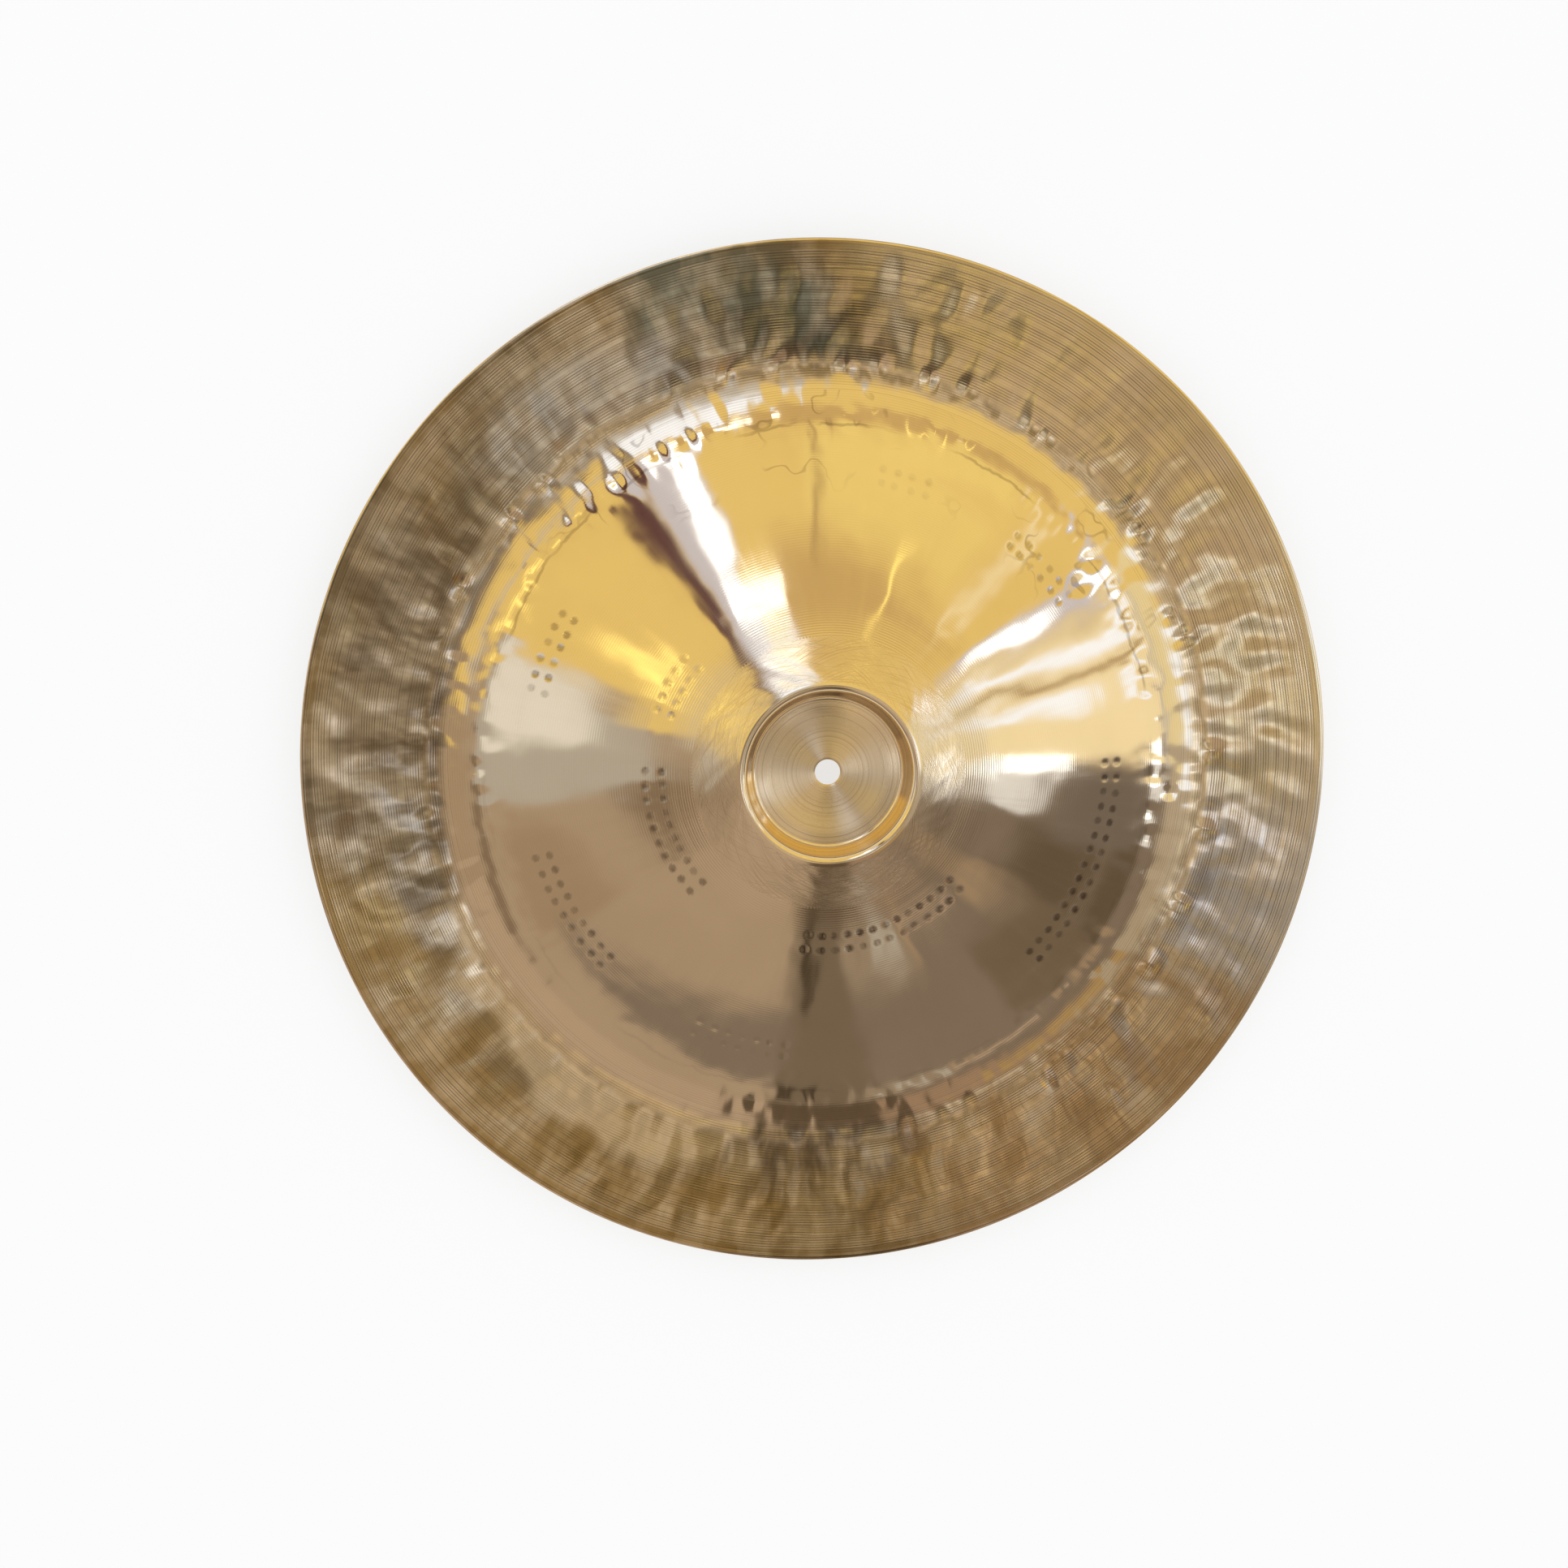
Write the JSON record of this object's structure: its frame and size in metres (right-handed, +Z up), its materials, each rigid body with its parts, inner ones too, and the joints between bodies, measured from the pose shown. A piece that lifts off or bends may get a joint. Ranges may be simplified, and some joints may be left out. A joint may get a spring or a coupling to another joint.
{
  "type": "cymbal",
  "caption": "Hand-hammered bronze cymbal with a sunk cup, domed bow and turned-up edge, for a stand or for clashing by hand.",
  "frame": {"origin": "centre of the circle on which the cymbal lies, on the surface that it rests on, under the stand hole's axis", "axes": "+Z up along the stand hole's axis, out of the played face; +X and +Y lie in the plane of the disc, which is round"},
  "size_m": [0.4572, 0.4572, 0.0342],
  "materials": {
    "bell_bronze": "lathed in fine circles on both faces, buffed bright on the bow, hand-sanded round the cup"
  },
  "bodies": {
    "root": {"cymbal_disc": "bell_bronze"}
  },
  "joints": []
}
